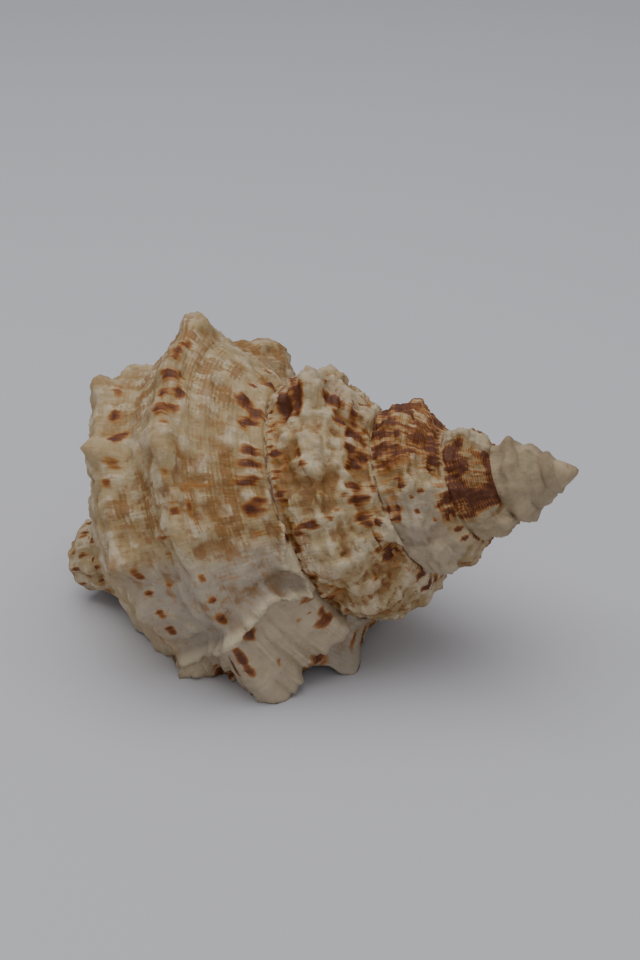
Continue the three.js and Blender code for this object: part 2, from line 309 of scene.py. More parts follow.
def place(turn, row, rise=0.0, inset=0.0, floor=0.0):
    """Points in millimetres: raised over the outline, then set in towards the section's middle."""
    turn, row, rise, inset, floor = np.broadcast_arrays(
        *(np.asarray(value, float) for value in (turn, row, rise, inset, floor)))
    points = outline_points(turn)
    here = on_outline(points, row)
    # Where two points of the outline nearly meet, its direction is taken over a longer stretch
    stretch_of_row = 0.001 + 0.7 * hump(row - 8.5, 0.7)
    step = on_outline(points, row + stretch_of_row) - on_outline(points, row - stretch_of_row)
    step /= np.maximum(np.linalg.norm(step, axis=1), 1e-12)[:, None]
    here = here + rise[:, None] * np.stack([-step[:, 1], step[:, 0]], axis=1)
    middle = section_middle * (size(turn) * mouth_suture)[:, None]
    reach = np.linalg.norm(middle - here, axis=1)
    here = mix(here, middle, np.minimum(inset / reach, 0.8)[:, None])
    # The first whorls are a little stouter than the rule
    stout = 1 + 0.34 * ease((-3.5 - turn - row / 6) / 0.7)
    down, out = here[:, 0], here[:, 1] * stout
    held = ease((row - 0.5) / 2.5) * (1 - ease((row - 9) / 3))
    angle = lip_angle - lip_back * held * ease((turn + 0.15) / 0.15) + 2 * np.pi * turn
    up = out * np.sin(angle)
    z = apex_height - down * math.sin(axis_tilt) + up * math.cos(axis_tilt)
    z = z - np.where(turn > -1.05, canal_drop * ease((row - 9) / 4), 0)
    z = np.where(turn > -1.05, floor + floor_at(z - floor, 1.2), z)
    return np.stack([
        apex_place[0] - down * math.cos(axis_tilt) - up * math.sin(axis_tilt),
        apex_place[1] - out * np.cos(angle),
        np.maximum(z - wear, 0),
    ], axis=1)


def underside(turn, row):
    """How far the underside between the last old lip and the mouth stands off the floor."""
    beside = hump(turn - last_old_lip + 0.042, 0.03) * (1 - ease((row - 3) / 1.5))
    leg = around_middle(turn, row, *leg_knob[:4])
    lift = mix(least_lift, most_lift, beside)
    return lift * ease((last_old_lip - 0.022 - turn) / 0.02) * np.maximum(0, 1 - 1.15 * leg)


def outer_points(turn, row):
    floor = np.where(turn > -1, underside(turn, row), 0)
    return place(turn, row, relief(turn, row) * size(turn), 0, floor)


# Rows that differ by less count as the same
same_row = 1e-6


class Skin:
    """The shell's points and faces, with the turn and row of every corner of a face."""

    def __init__(self):
        self.points = []
        self.faces = []
        self.corners = []
        self.count = 0

    def add(self, points):
        first = self.count
        self.points.append(points)
        self.count += len(points)
        return np.arange(first, self.count)

    def face(self, *corners):
        """A face from its corners, each a point and its place; a point named twice is left out."""
        kept = {}
        for index, corner in corners:
            kept.setdefault(int(index), corner)
        if len(kept) > 2:
            self.faces.append(tuple(kept))
            self.corners.extend(kept.values())

    def plain_face(self, corner, *indices):
        """A face that has one place on the shell."""
        self.face(*((index, corner) for index in indices))

    def join(self, left, left_rows, left_turn, right, right_rows, right_turn):
        """Joins two columns of points, by quads where their rows agree."""
        i = j = 0
        while i < len(left) - 1 or j < len(right) - 1:
            left_next = left_rows[i + 1] if i < len(left) - 1 else math.inf
            right_next = right_rows[j + 1] if j < len(right) - 1 else math.inf
            corners = [(left[i], (left_turn, left_rows[i])), (right[j], (right_turn, right_rows[j]))]
            on_left = left_next < right_next + same_row
            if right_next < left_next + same_row:
                j += 1
                corners.append((right[j], (right_turn, right_next)))
            if on_left:
                i += 1
                corners.append((left[i], (left_turn, left_next)))
            self.face(*corners)


skin = Skin()
last_whorl_start = (turns - 1) * columns_per_turn


def rows_of(step):
    """The rows of a column of points: to the suture on covered whorls, to the canal on the last."""
    back_turns = (turns * columns_per_turn - step - 1) // columns_per_turn
    per_unit = rows_per_unit[max(back_turns, 0)]
    if step < last_whorl_start:
        return np.arange(cover_row * per_unit + 1) / per_unit
    body = np.arange(base_row * per_unit + 1) / per_unit
    base_steps = (canal_row - base_row) * rows_per_base_unit
    return np.concatenate([body, base_row + np.arange(1, base_steps + 1) / rows_per_base_unit])


columns = []
point_turn, point_row = [], []
for step in range(turns * columns_per_turn + 1):
    turn = step / columns_per_turn - turns
    rows = rows_of(step)
    index = np.zeros(len(rows), int)
    first = 0
    if step >= columns_per_turn:
        above, above_rows = columns[step - columns_per_turn]
        index[0] = above[np.argmin(np.abs(above_rows - cover_row))]
        first = 1
    new_rows = rows[first:]
    index[first:] = np.arange(skin.count, skin.count + len(new_rows))
    skin.count += len(new_rows)
    covered = (np.abs(new_rows - cover_row) < same_row) & (turn < -1 + same_row)
    point_turn.append(np.where(covered, turn + 1, turn))
    point_row.append(np.where(covered, 0, new_rows))
    columns.append((index, rows))
point_turn = np.concatenate(point_turn)
point_row = np.concatenate(point_row)
skin.points.append(outer_points(point_turn, point_row))

for step in range(turns * columns_per_turn):
    left, left_rows = columns[step]
    right, right_rows = columns[step + 1]
    turn = step / columns_per_turn - turns
    if step < last_whorl_start:
        right, right_rows = right[right_rows <= cover_row], right_rows[right_rows <= cover_row]
    skin.join(left, left_rows, turn, right, right_rows, turn + 1 / columns_per_turn)

# The tip is closed over a few rings, each given as its share along the axis and out from it
tip_rings = ((0.68, 0.78), (0.4, 0.54), (0.15, 0.3))
tip_point = np.array([
    apex_place[0] - apex_rounding * math.cos(axis_tilt), apex_place[1],
    apex_height - apex_rounding * math.sin(axis_tilt),
])
tip = skin.add(tip_point[None])[0]
first_column, first_rows = columns[0]
outer_skin = skin.points[0]
shell_axis = np.array([math.cos(axis_tilt), 0, math.sin(axis_tilt)])
around = [columns[step][0][0] for step in range(columns_per_turn + 1)]
around += list(first_column[::-1][1:-1])
around_map = [(step / columns_per_turn - turns, 0) for step in range(columns_per_turn + 1)]
around_map += [(-turns, row) for row in first_rows[::-1][1:-1]]
from_tip = outer_skin[around] - tip_point
along_axis = (from_tip @ shell_axis)[:, None] * shell_axis
outer_ring = around
for along_share, out_share in tip_rings:
    ring = skin.add(tip_point + along_share * along_axis + out_share * (from_tip - along_axis))
    for i, spot in enumerate(around_map):
        following = (i + 1) % len(ring)
        skin.plain_face(spot, ring[i], ring[following], outer_ring[following], outer_ring[i])
    outer_ring = ring
for i, spot in enumerate(around_map):
    skin.plain_face(spot, tip, outer_ring[(i + 1) % len(outer_ring)], outer_ring[i])
tip_count = skin.count

# The end of the canal is closed over a shallow dimple, by rings of a share of its rim and a depth
canal_rings = ((0.82, 0.0), (0.62, 0.6), (0.5, 2.5), (0.42, 6.0))
dimple_depth = 6.5
on_canal_end = (-1, 30)
rim = np.array([column[0][-1] for column in columns[last_whorl_start:]])
canal_middle = np.array([apex_place[0], apex_place[1], apex_height]) - canal_end * shell_axis
canal_middle[2] -= canal_drop
rim_points = outer_skin[rim]
last_ring = rim
for share, depth in canal_rings:
    ring = skin.add(mix(canal_middle, rim_points[:-1], share) + depth * shell_axis)
    ring = np.append(ring, ring[0])
    for i in range(len(rim) - 1):
        skin.plain_face(on_canal_end, last_ring[i], ring[i], ring[i + 1], last_ring[i + 1])
    if last_ring is rim:
        skin.plain_face(on_canal_end, last_ring[-1], ring[-1], ring[0], last_ring[0])
    last_ring = ring
canal_floor = skin.add((canal_middle + dimple_depth * shell_axis)[None])[0]
for i in range(len(rim) - 1):
    skin.plain_face(on_canal_end, last_ring[i], canal_floor, last_ring[i + 1])


# The mouth: loops run down the lip and back up the whorl inside it, and go on into the hollow.
# On the way back up, rows are counted on past the canal's, and the map has them 40 further on.
way_back = 2 * canal_row
loop_end = way_back - cover_row
mouth_rows_from = 40
on_hollow_end = (-hollow_turns, 50)
# The lip's rounded edge: how far forward it reaches in turns, and how deep it is set in
lip_edge = ((0.004, 0.6), (0.006, 1.5), (0.0055, 2.6), (0.004, 3.5))

lip, lip_rows = columns[-1]
start, start_rows = columns[last_whorl_start]
beyond = start_rows > cover_row
start, start_rows = start[beyond][::-1], start_rows[beyond][::-1]
edge = np.concatenate([lip, start])
edge_rows = np.concatenate([lip_rows, way_back - start_rows])
loop_rows = np.arange(4 * loop_end) / 4


def lip_loop(forward, depth):
    """The lip's edge once more, moved forward and in where it isn't shared with the whorl."""
    index = edge.copy()
    row = lip_rows[1:]
    taper = ease(row / 1.5) * (1 - ease((row - 10) / 3))
    rise = relief(np.zeros_like(row), row)
    index[1:len(lip)] = skin.add(place(forward * taper, row, rise, depth * taper))
    return index


def hollow_loop(turn, deep):
    """A loop in the hollow, with teeth inside the lip and folds on the side across from it."""
    thick = wall * size(turn * 0.8) * deep
    row = loop_rows[loop_rows <= canal_row]
    inside = mix(row, mix(0.9, 10, row / canal_row), deep)
    full_turn = np.full(len(row), turn)
    teeth = 1.6 * hump(turn + 0.05, 0.03) * (0.5 + 0.5 * ripple(1.5 * row))
    teeth *= ease((row - 1) / 1) * (1 - ease((row - 9) / 1))
    outer = place(full_turn, inside, 0, thick + teeth, underside(full_turn, inside)
                  + underside_wall * deep)
    row = way_back - loop_rows[loop_rows > canal_row]
    inside = mix(row, mix(6.5, 10, (row - cover_row) / (canal_row - cover_row)), deep)
    folds = 0.7 * (0.5 + 0.5 * ripple(1.5 * row)) * hump(turn + 0.1, 0.12) * deep
    inner = place(np.full(len(row), turn - 1), inside, 0.8 * deep + folds, 0, 0)
    return skin.add(np.concatenate([outer, inner]))


def closed(index, rows, turn):
    """A loop that is taken round to its start again, at the top of the lip."""
    return np.append(index, index[0]), np.append(rows, loop_end) + mouth_rows_from, turn


loops = [(edge, edge_rows, 0)]
for forward, depth in lip_edge:
    loops.append((lip_loop(forward, depth), edge_rows, 0))
for step in range(hollow_turns * hollow_steps + 1):
    turn = -step / hollow_steps - 0.02
    deep = float(ease((step + 1) / full_depth_step))
    loops.append((hollow_loop(turn, deep), loop_rows, turn))
for near, far in zip(loops, loops[1:]):
    skin.join(*closed(*near), *closed(*far))
end_centre = skin.add(skin.points[-1].mean(axis=0)[None])[0]
end_loop = np.append(loops[-1][0], loops[-1][0][0])
for i in range(len(end_loop) - 1):
    skin.plain_face(on_hollow_end, end_loop[i], end_centre, end_loop[i + 1])

points = np.concatenate(skin.points)
other_points = np.zeros(len(points) - len(point_turn))
every_turn = np.concatenate([point_turn, other_points])
every_row = np.concatenate([point_row, other_points])
outside = np.zeros(len(points))
outside[:tip_count] = 1
every_turn[tip:tip_count] = -turns

# Where the fine relief is full: away from the sutures, the lip and the canal's end
weight = outside * ease(every_row / 0.4) * (1 - ease((every_row - 12.2) / 0.8))
weight *= np.where(every_turn < -1, 1 - ease((every_row - 5.75) / 0.25), 1)
weight *= 1 - ease((every_turn + 0.02) / 0.02)

# Glazed inner faces of the old lips, with the band that they leave
glaze = np.zeros(len(points))
for i in range(old_lips):
    ahead = every_turn - (last_old_lip - i * lip_spacing)
    reach = old_lip_reach
    if i == 0:
        reach = np.interp(every_row, crest_rows, crest_turns) - last_old_lip
    band = ease((ahead + 0.008) / 0.008) * (1 - ease((ahead - reach + 0.004) / 0.008))
    glaze = np.maximum(glaze, band * (1 - 0.08 * i))
glaze *= outside

# Brown spots: turn, row, half width in turns, half width in rows, strength
spots = [
    # the last whorl's dashes below the suture
    (-527, 0.92, 4.5, 0.42, 0.9), (-502, 0.8, 5.5, 0.4, 0.6), (-500, 1.08, 5.5, 0.18, 0.85),
    (-490, 0.6, 4, 0.32, 0.65), (-468, 0.88, 5.8, 0.42, 1.25), (-447, 0.7, 4, 0.42, 0.95),
    (-433, 0.66, 3.6, 0.38, 0.65), (-426, 0.6, 3.6, 0.34, 0.6), (-387, 0.52, 5, 0.26, 1),
    (-394, 0.9, 6, 0.3, 1.25), (-372.5, 0.35, 5, 0.26, 1.15), (-362, 0.86, 6.5, 0.34, 1.25),
    (-349, 1.02, 5.5, 0.22, 0.85), (-326, 0.85, 4.5, 0.18, 0.6), (-308, 0.75, 6, 0.26, 0.55),
    (-285, 0.8, 5, 0.3, 0.8), (-262, 0.8, 5, 0.3, 0.9), (-537, 0.1, 12, 0.16, 1.25),
    (-583, 0.04, 12, 0.12, 1.2), (-300, 0.3, 6, 0.2, 0.9),
    # its shoulder
    (-423, 3.92, 3, 0.16, 1), (-414, 4.12, 5, 0.2, 0.9), (-403, 3.76, 5.5, 0.26, 0.85),
    (-385, 3.5, 5.5, 0.24, 1.15), (-390, 4.15, 4.5, 0.18, 0.85), (-365, 3.52, 5.5, 0.26, 1.1),
    (-372.5, 4.02, 4.5, 0.22, 0.95), (-335, 3.95, 20, 0.12, 0.75), (-317, 3.75, 5, 0.18, 0.9),
    (-495, 4, 5.5, 0.18, 1), (-463.6, 4.06, 4, 0.15, 1.05), (-513, 4.8, 3.5, 0.55, 0.62),
    (-490, 4.6, 4.5, 0.3, 0.6), (-594, 3.86, 6, 0.16, 0.85), (-574, 3.82, 3.5, 0.14, 0.8),
    (-552.5, 3.86, 3, 0.12, 0.6), (-494, 3.35, 17, 0.14, 0.55), (-472, 2.75, 3, 0.6, 0.45),
    # its second cord
    (-412, 6.4, 8, 0.14, 1), (-380, 6.52, 8, 0.16, 1.05), (-403, 6.15, 6, 0.12, 0.8),
    (-439, 6.52, 4.5, 0.2, 1), (-455, 6.8, 3.5, 0.14, 0.8), (-350, 6.5, 6, 0.2, 0.9),
    (-588.5, 6.55, 6, 0.1, 1.05), (-567, 6.6, 5, 0.11, 1.05), (-545, 6.54, 5.5, 0.09, 0.95),
    (-612, 6.7, 5.5, 0.11, 0.95), (-560, 5.9, 4, 0.12, 0.45), (-530, 5.2, 4, 0.2, 0.45),
    # the last old lip and its crest; at -646, -651 and -621 partly painted shadow by the spout
    (-606.6, 2.46, 4, 0.22, 0.75), (-617, 3.2, 5, 0.28, 1.2), (-646, 0.42, 9, 0.18, 1.1),
    (-651, 0.78, 5.5, 0.26, 0.95), (-621, 0.65, 3.5, 0.3, 1.05), (-635, 0.82, 3.5, 0.16, 0.8),
    (-636, 3.95, 13, 0.1, 1.2), (-640, 4.35, 13, 0.1, 1.2), (-676, 6.2, 6, 0.16, 1.15),
    (-684, 6.42, 5, 0.14, 1.1), (-672, 5.45, 5, 0.16, 0.8), (-655, 3.1, 3, 0.22, 0.5),
    (-636, 1.3, 3, 0.2, 0.5), (-700, 2.2, 12, 0.4, 0.9), (-705, 3.1, 8, 0.3, 0.7),
    # the whorl before: dashes below the suture, and round the spout that hangs over it
    (-1707, 0.55, 5, 0.28, 0.85), (-1697, 0.2, 6, 0.2, 0.85), (-1648, 0.92, 5, 0.26, 0.8),
    (-1613, 0.8, 6.5, 0.48, 1.25), (-1590, 1.35, 3.5, 0.28, 0.9), (-1600, 0.7, 4, 0.24, 1.1),
    (-1572, 1.08, 14, 0.06, 1.1), (-1547, 0.68, 7, 0.12, 1.15), (-1533.5, 1.36, 6, 0.38, 1.25),
    (-1548, 1.18, 4.5, 0.2, 0.85), (-1507, 1.38, 6, 0.38, 1.25), (-1507, 0.8, 4, 0.24, 0.7),
    (-1483, 1.2, 5, 0.42, 1.15), (-1485, 0.3, 6, 0.16, 1.05), (-1452, 1.38, 5.5, 0.22, 1),
    (-1443, 0.95, 5.5, 0.26, 1), (-1429, 0.42, 6, 0.34, 1.2), (-1417, 1.3, 5.5, 0.24, 0.62),
    (-1393, 0.82, 6, 0.22, 0.6), (-1392, 1.3, 5, 0.16, 1.1), (-1371, 0.35, 6, 0.28, 1.2),
    (-1368, 1, 3.5, 0.3, 1),
    # its middle and lower part
    (-1630, 2.3, 3.5, 0.3, 0.5), (-1607, 2.4, 3.5, 0.26, 0.52), (-1495, 2.2, 3.5, 0.26, 0.55),
    (-1513, 2.7, 3.5, 0.22, 0.5), (-1523, 3.35, 4.2, 0.34, 0.68), (-1493, 3.5, 3.5, 0.24, 0.6),
    (-1410, 3.25, 4.2, 0.26, 0.62), (-1640, 3.65, 3.5, 0.2, 0.62), (-1528, 4.55, 5.2, 0.48, 1.25),
    (-1534, 5.3, 4, 0.18, 0.85), (-1456, 4.15, 4.2, 0.22, 0.9), (-1438, 4.42, 5.5, 0.14, 0.85),
    (-1610, 4.3, 3.5, 0.24, 0.55), (-1632, 5.1, 5, 0.18, 0.65), (-1617, 5.1, 3.5, 0.18, 0.6),
    (-1673, 5.25, 6, 0.2, 0.85), (-1640, 5.55, 5.5, 0.18, 1.16), (-1597, 5.55, 5.5, 0.2, 1.26),
    (-1553, 5.55, 5.1, 0.14, 1.1), (-1517, 5.55, 4.3, 0.14, 1), (-1493, 5.5, 3.8, 0.18, 0.84),
    (-1483, 5.55, 5, 0.2, 1.1), (-1457, 5.55, 4.3, 0.14, 1.1), (-1430, 5.55, 4.7, 0.16, 1.16),
    (-1388, 5.55, 5.5, 0.18, 1.05), (-1447, 5.25, 14, 0.1, 0.55), (-1410, 4.55, 3.5, 0.14, 0.7),
    (-1372, 1.85, 8, 0.4, 1.15), (-1385, 1.05, 9, 0.35, 1.2), (-1398, 0.45, 9, 0.25, 1.1),
    (-1417, 1.3, 5.5, 0.34, 0.9), (-1396, 1.25, 5, 0.32, 0.7), (-1437, 1.1, 5, 0.3, 0.95),
    (-1374, 5.05, 12, 0.26, 1.15), (-1372, 4.4, 11, 0.22, 1.1),
    # the gaps of the old lip behind it
    (-1357, 1.28, 6, 0.26, 1.25), (-1337, 1.45, 8, 0.1, 1), (-1355, 2.5, 6, 0.6, 1.15),
    (-1337, 2.1, 8, 0.1, 0.9), (-1356, 4.35, 7, 0.22, 1.2), (-1343, 4.6, 8, 0.16, 1.1),
    (-1358, 5.05, 7.5, 0.26, 1.2), (-1335, 5.35, 11, 0.18, 1.15), (-1320, 3.3, 8, 0.14, 0.7),
    # the third whorl
    (-2690, 0.15, 30, 0.2, 1.1), (-2621, 0.72, 6, 0.3, 1.15), (-2650, 0.9, 5.5, 0.32, 0.9),
    (-2575, 0.7, 12, 0.46, 1.2), (-2532, 0.45, 10, 0.26, 1.2), (-2545, 1.32, 8, 0.34, 0.72),
    (-2570, 2, 4, 0.26, 0.85), (-2425, 0.85, 9, 0.38, 1.25), (-2450, 1.25, 9, 0.24, 1.15),
    (-2386, 0.78, 7, 0.4, 1.15), (-2352, 0.85, 6, 0.34, 1), (-2320, 0.7, 6, 0.34, 0.85),
    (-2505, 2.5, 5, 0.28, 1.15), (-2533, 2.4, 4, 0.3, 0.6), (-2541, 3.45, 4.5, 0.26, 0.9),
    (-2512, 3.45, 3.5, 0.26, 1.05), (-2487, 4.22, 6.5, 0.3, 1.2), (-2474, 4.42, 5, 0.24, 0.9),
    (-2549, 5.1, 5.5, 0.24, 1), (-2528, 5.06, 5, 0.14, 1.05), (-2530, 5.7, 4.5, 0.18, 1.1),
    (-2549, 5.7, 5, 0.24, 0.9), (-2427, 4.32, 6, 0.24, 0.8), (-2386, 4.08, 6.5, 0.22, 1.1),
    (-2347, 5.2, 5.5, 0.6, 1.1), (-2420, 5.62, 6, 0.26, 1), (-2316, 3.2, 10, 0.24, 0.8),
    (-2285, 4.4, 18, 0.16, 0.95), (-2262, 4.8, 12, 0.16, 0.95), (-2300, 5.3, 20, 0.2, 0.85),
    # the fourth whorl
    (-3382, 0.6, 8, 0.36, 1.3), (-3433, 3.5, 12, 0.5, 1.25), (-3460, 4, 12, 0.5, 1.15),
    (-3376, 4.1, 10, 0.45, 1.15), (-3290, 0.9, 13, 0.3, 0.9), (-3350, 3.4, 6, 0.26, 1.05),
]
turn_spread, row_spread = 1.15, 1.1
brown = np.zeros(len(points))
for turn, row, turn_width, row_width, strength in spots:
    brown += strength * around_middle(every_turn, every_row, turn, row,
                                      turn_spread * turn_width, row_spread * row_width)


def over_turns(first, last, soft):
    """1 on a stretch of the shell's turns, with soft ends."""
    return ease((every_turn - first) / soft) * (1 - ease((every_turn - last + soft) / soft))


def on_row(row, half_width):
    """1 on a row, fading to both sides of it."""
    return hump(every_row - row, half_width)


def patches(*listed):
    """Soft patches: first and last turn, softness, row, half width in rows, strength."""
    return sum(strength * over_turns(first, last, soft) * on_row(row, half_width)
               for first, last, soft, row, half_width, strength in listed)


last_whorl = every_turn > -1

# The earlier whorls are brown in cords and patches
brown += 0.52 * over_turns(-2.47, -2.12, 0.05) * ease(every_row / 0.5)
brown += 1.05 * over_turns(-3.6, -3.5, 0.03) * (1 - ease((every_row - 4) / 0.8))
brown += 0.675 * over_turns(-3.62, -3.36, 0.02) * ease((every_row - 3.6) / 1.2)
brown += 0.36 * over_turns(-3.56, -3.36, 0.02) + 0.62 * over_turns(-3.33, -3.05, 0.08)
brown += patches(
    (-1.52, -1.36, 0.03, 1.0, 0.8, 0.2), (-1.78, -1.5, 0.03, 0.6, 0.9, 0.22),
    (-2.56, -2.34, 0.03, 0.8, 1.0, 0.26), (-2.56, -2.34, 0.03, 5.2, 0.9, 0.26),
    (-2.6, -2.51, 0.03, 0.4, 0.8, 0.45), (-3.62, -3.36, 0.02, 0.2, 0.6, 0.75),
)

# Dashes below the suture, where none are listed above
listed = (over_turns(-0.73, -0.25, 0.01) + over_turns(-1.73, -1.33, 0.01)
          + over_turns(-2.74, -2.3, 0.01))
dashes = (0.5 + 0.5 * ripple(39 * every_turn)) ** 3 * on_row(0.95, 0.45)
brown += 0.95 * dashes * (1 - listed) * (every_turn > -3)

# Blotches on the canal, and short dashes at the lower edge of the whorl before the last
blotches = np.maximum(ripple(11 * every_turn + 0.4 * every_row) * ripple(1.1 * every_row), 0)
brown += (0.1 + 0.75 * blotches**2) * ease((every_row - 10.3) / 0.8) * last_whorl
edge_dashes = (0.5 + 0.5 * ripple(crimps_per_turn * every_turn)) ** 2 * on_row(5.74, 0.15)
brown += 0.75 * edge_dashes * over_turns(-1.85, -1.3, 0.05)
brown *= outside

# Ochre patches, which the plaid fills
ochre = patches(
    (-0.55, -0.42, 0.02, 1.55, 0.28, 0.8), (-0.55, -0.45, 0.02, 2.22, 0.3, 0.9),
    (-0.52, -0.44, 0.02, 3.35, 0.28, 0.9), (-0.52, -0.44, 0.02, 5.8, 0.35, 1),
    (-0.51, -0.455, 0.02, 6.4, 0.5, 0.9), (-0.52, -0.44, 0.02, 4.8, 0.7, 0.4),
    (-0.42, -0.28, 0.03, 1.75, 0.5, 0.7), (-0.37, -0.29, 0.02, 2, 0.22, 0.6),
    (-0.41, -0.27, 0.02, 2.8, 0.28, 0.8), (-0.36, -0.28, 0.02, 3.9, 0.35, 0.6),
    (-0.54, -0.26, 0.03, 3.5, 3, 0.32), (-0.44, -0.24, 0.06, 5.6, 1.6, 0.45),
    (-0.26, 0.02, 0.05, 4, 4.5, 0.7), (-0.16, 0.03, 0.05, 1.5, 2, 0.5),
    (-0.7, -0.5, 0.03, 8.2, 1.2, 0.55), (-0.7, -0.62, 0.02, 0.8, 0.9, 0.5),
    (-0.72, -0.64, 0.02, 6.9, 0.8, 0.75), (-1, 0, 0.02, 12, 1.8, 0.15),
    (-1.56, -1.36, 0.05, 3.4, 3, 0.3), (-1.75, -1.55, 0.05, 3.4, 2.5, 0.35),
    (-1.66, -1.4, 0.05, 5.3, 0.5, 0.6), (-1.48, -1.38, 0.03, 1.1, 0.5, 0.5),
    (-1.3, -1, 0.1, 3.4, 3, 0.6), (-2.1, -1.75, 0.1, 3.4, 3, 0.6), (-2.5, -2.2, 0.04, 3, 3, 0.6),
    (-3.1, -2.7, 0.1, 3, 3, 0.6),
)
ochre = np.clip(ochre, 0, 1) * outside

# Net of rusty crescents
net = 0.9 * over_turns(-1.8, -1.6, 0.06) + 0.55 * over_turns(-2.05, -1.05, 0.05)
net += 0.35 * over_turns(-0.3, 0.0, 0.05) + 0.12 * over_turns(-1.0, -0.3, 0.1)
net += 0.5 * over_turns(-3.1, -2.7, 0.08)
net += 0.45 * over_turns(-0.61, -0.42, 0.03) * (1 - ease((every_row - 6.5) / 0.5))
net = np.clip(net, 0, 1) * outside

# Pale crest and spout, partly painted highlight; below 0, painted shade in the spout's hollow
from_crest = every_turn - np.interp(every_row, crest_rows, crest_turns)
spout_edge = edge_of(last_spout, every_turn)
on_spout = ease((spout_edge + 0.08 - every_row) / 0.08) * (spout_edge > 0)
crest_highlight_and_shade = hump(from_crest, 0.005) * ease((every_row - 0.25) / 0.3)
crest_highlight_and_shade = np.maximum(crest_highlight_and_shade * (1 - ease((every_row - 6.8) / 0.8)), on_spout)
crest_highlight_and_shade -= hump(every_turn + 0.583, 0.02) * on_row(0.98, 0.42) * (1 - crest_highlight_and_shade)
crest_highlight_and_shade *= outside

# Bluish white ground beside the last old lip; on the third whorl partly a painted glossy highlight
pale = (1 - ease((every_turn + 0.56) / 0.04)) * ease((every_turn + 0.8) / 0.06) * last_whorl
pale *= 1 - ease((every_row - 6.8) / 0.6)
pale += 0.85 * over_turns(-2.72, -2.49, 0.03) * ease((every_row - 1.2) / 0.6)

# Worn to plain chalk: the first whorls, some old lips and the upper spout
worn = ease((-4.02 - every_turn - every_row / 60) / 0.06)
worn += over_turns(-3.8, -3.61, 0.02)
worn += 0.9 * over_turns(-3.37, -3.25, 0.02) * ease((every_row - 0.3) / 0.6)
worn += 0.9 * ease((edge_of(upper_spout, every_turn) - every_row) / 0.1)
worn = np.clip(worn, 0, 1) * outside
inside = 1 - outside

mesh = bpy.data.meshes.new("shell_form")
mesh.from_pydata((points * 0.001).tolist(), [], skin.faces)
place_map = mesh.uv_layers.new(name="Place")
place_map.data.foreach_set("uv", np.array(skin.corners, np.float32).ravel())
fields = dict(turn=every_turn, row=every_row, weight=weight, glaze=glaze, brown=brown,
              ochre=ochre, net=net, crest=crest_highlight_and_shade, pale=pale, worn=worn, inside=inside)
for name, values in fields.items():
    attribute = mesh.attributes.new(name, "FLOAT", "POINT")
    attribute.data.foreach_set("value", np.asarray(values, np.float32))
mesh.polygons.foreach_set("use_smooth", np.ones(len(mesh.polygons), bool))


class Number:
    """A socket of a node tree, so that sums of values read as Python expressions."""

    def __init__(self, tree, socket):
        self.tree = tree
        self.socket = socket

    def node(self, kind, settings=None, values=None, output=0):
        """Adds any node to the same tree, its settings before its sockets."""
        node = self.tree.nodes.new(kind)
        for name, setting in (settings or {}).items():
            if name == "stops":
                ramp = node.color_ramp
                while len(ramp.elements) < len(setting):
                    ramp.elements.new(0.5)
                for element, (position, colour) in zip(ramp.elements, setting):
                    element.position = position
                    element.color = (*colour, 1)
            else:
                setattr(node, name, setting)
        for name, value in (values or {}).items():
            if isinstance(value, Number):
                self.tree.links.new(value.socket, node.inputs[name])
            else:
                node.inputs[name].default_value = value
        return Number(self.tree, node.outputs[output])

    def sum(self, operation, first, second=0.0):
        return self.node("ShaderNodeMath", {"operation": operation}, {0: first, 1: second})

    def __add__(self, other):
        return self.sum("ADD", self, other)

    __radd__ = __add__

    def __sub__(self, other):
        return self.sum("SUBTRACT", self, other)

    def __rsub__(self, other):
        return self.sum("SUBTRACT", other, self)

    def __mul__(self, other):
        return self.sum("MULTIPLY", self, other)

    __rmul__ = __mul__

    def cosine(self):
        return self.sum("COSINE", self)

    def least(self, other):
        return self.sum("MINIMUM", self, other)

    def between(self, low, high):
        """0 up to low, 1 from high on, and a smooth rise between them."""
        return self.node("ShaderNodeMapRange", {"interpolation_type": "SMOOTHSTEP"},
                         {0: self, 1: low, 2: high, 3: 0.0, 4: 1.0})


# Material: chalky shell, cream with ochre and brown marks, glazed at its lips
cream = (0.475, 0.35, 0.18)
warm_tan = (0.34, 0.205, 0.072)
ochre_stain = (0.28, 0.122, 0.021)
amber = (0.4, 0.165, 0.024)
rust = (0.225, 0.058, 0.006)
dark_brown = (0.105, 0.023, 0.003)
chalk = (0.6, 0.49, 0.325)
# Bluish white ground, and on the third whorl partly a painted glossy highlight
blue_white = (0.43, 0.36, 0.27)
# Grey for dirt and soot, for the greying towards the apex, and for painted shade in the spout's hollow
grey_dirt_and_shade = (0.24, 0.155, 0.075)
# Crest white, partly a painted highlight on the crest's lit edge
crest_white_and_highlight = (0.68, 0.57, 0.38)
old_lip_cream = (0.53, 0.42, 0.275)
mouth_orange = (0.62, 0.33, 0.15)

material = bpy.data.materials.new("sea_shell")
material.use_nodes = True
tree = material.node_tree
shader = tree.nodes["Principled BSDF"]
make = Number(tree, None)


def blend(share, low, high):
    values = {0: share}
    values[6] = low if isinstance(low, Number) else (*low, 1)
    values[7] = high if isinstance(high, Number) else (*high, 1)
    return make.node("ShaderNodeMix", {"data_type": "RGBA"}, values, output=2)


def noise(vector, scale, detail=3.0, roughness=0.5):
    return make.node("ShaderNodeTexNoise", {}, {
        "Vector": vector, "Scale": scale, "Detail": detail, "Roughness": roughness})


def on_surface(per_turn, per_row):
    """A vector that follows the surface, round the whorl and across it."""
    return make.node("ShaderNodeCombineXYZ", {}, {0: turn_there * per_turn, 1: row_there * per_row})


def waves(per_row, wavering):
    """Waves from -1 to 1 along the cords, that stray a little from their line."""
    return (row_there * (2 * math.pi * per_row) + wander * wavering).cosine()


